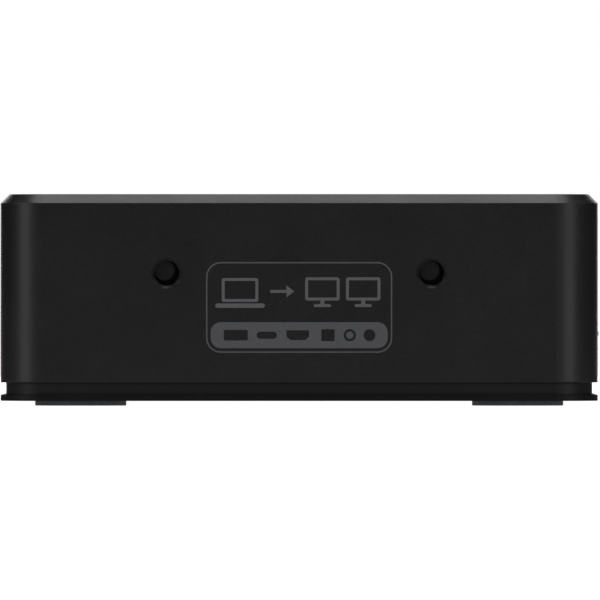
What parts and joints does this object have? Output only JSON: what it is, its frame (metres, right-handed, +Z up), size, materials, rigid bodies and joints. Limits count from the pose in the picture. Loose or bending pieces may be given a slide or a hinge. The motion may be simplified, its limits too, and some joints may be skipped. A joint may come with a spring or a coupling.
{
  "type": "laptop docking station",
  "caption": "Low black metal laptop docking station with a row of sockets front and rear, a sprung power button, a status light and round rubber feet.",
  "frame": {"origin": "on the resting surface, under the middle of the case", "axes": "+X along the case to its right end, -Y out of the front with the power button, +Z up"},
  "size_m": [0.22, 0.0852, 0.0301],
  "materials": {
    "shell_anodised": "fine bead-blasted, anodised black",
    "base_plastic": "moulded black, finely textured",
    "panel_plastic": "moulded black, finely textured",
    "foot_rubber": "dark grey rubber, matt",
    "screw_steel": "zinc-plated steel",
    "standoff_brass": "turned brass",
    "circuit_board": "glass-filled board with dark green solder mask",
    "insulating_film": "thin translucent film",
    "chip_epoxy": "moulded black epoxy",
    "thermal_silicone": "soft grey silicone",
    "heat_sink_aluminium": "extruded, natural",
    "ferrite": "pressed ferrite powder, grey-black",
    "capacitor_can": "drawn aluminium can",
    "ceramic": "fired ceramic",
    "crystal_can": "nickel-plated lid",
    "socket_steel": "folded steel, nickel plated",
    "socket_insert_black": "moulded black",
    "socket_insert_blue": "moulded blue",
    "contact_gold": "gold-plated spring bronze",
    "light_pipe_clear": "clear acrylic, lit pale blue",
    "button_cap": "moulded black, satin",
    "switch_plastic": "moulded black"
  },
  "bodies": {
    "dock": {"audio_chip": "chip_epoxy", "base_plate": "base_plastic", "base_screws": "screw_steel", "board_screws": "screw_steel", "board_standoffs": "standoff_brass", "bulk_capacitors": "capacitor_can", "ceramic_capacitors": "ceramic", "crystals": "crystal_can", "foot_front_left": "foot_rubber", "foot_front_right": "foot_rubber", "foot_rear_left": "foot_rubber", "foot_rear_right": "foot_rubber", "front_contacts": "contact_gold", "front_type_a_left_insert": "socket_insert_blue", "front_type_a_left_shell": "socket_steel", "front_type_a_right_insert": "socket_insert_blue", "front_type_a_right_shell": "socket_steel", "front_type_c_insert": "socket_insert_black", "front_type_c_shell": "socket_steel", "graphics_chip": "chip_epoxy", "headset_jack_body": "socket_insert_black", "headset_jack_ring": "socket_steel", "heat_sink": "heat_sink_aluminium", "host_type_c_insert": "socket_insert_black", "host_type_c_shell": "socket_steel", "housing_shell": "shell_anodised", "hub_chip": "chip_epoxy", "insulating_sheet": "insulating_film", "light_pipe": "light_pipe_clear", "lock_plate": "screw_steel", "main_board": "circuit_board", "memory_chips": "chip_epoxy", "network_chip": "chip_epoxy", "network_contacts": "contact_gold", "network_light_guides": "light_pipe_clear", "network_socket_body": "socket_insert_black", "network_socket_shield": "socket_steel", "network_transformer": "chip_epoxy", "power_inductors": "ferrite", "power_inlet_body": "socket_insert_black", "power_inlet_pin": "socket_steel", "rear_contacts": "contact_gold", "rear_panel": "panel_plastic", "rear_stack_left_insert": "socket_insert_blue", "rear_stack_left_shell": "socket_steel", "rear_stack_right_insert": "socket_insert_blue", "rear_stack_right_shell": "socket_steel", "shield_can": "socket_steel", "status_lamp": "light_pipe_clear", "switch_body": "switch_plastic", "thermal_pad": "thermal_silicone", "video_port_left_insert": "socket_insert_black", "video_port_left_shell": "socket_steel", "video_port_right_insert": "socket_insert_black", "video_port_right_shell": "socket_steel"},
    "button": {"power_button": "button_cap", "switch_plunger": "switch_plastic"}
  },
  "joints": [
    {"name": "power_button_press", "type": "slide", "parent": "dock", "child": "button", "axis": [0, 1, 0], "range_m": [0, 0.0005], "stiffness_N_per_m": 2500}
  ]
}
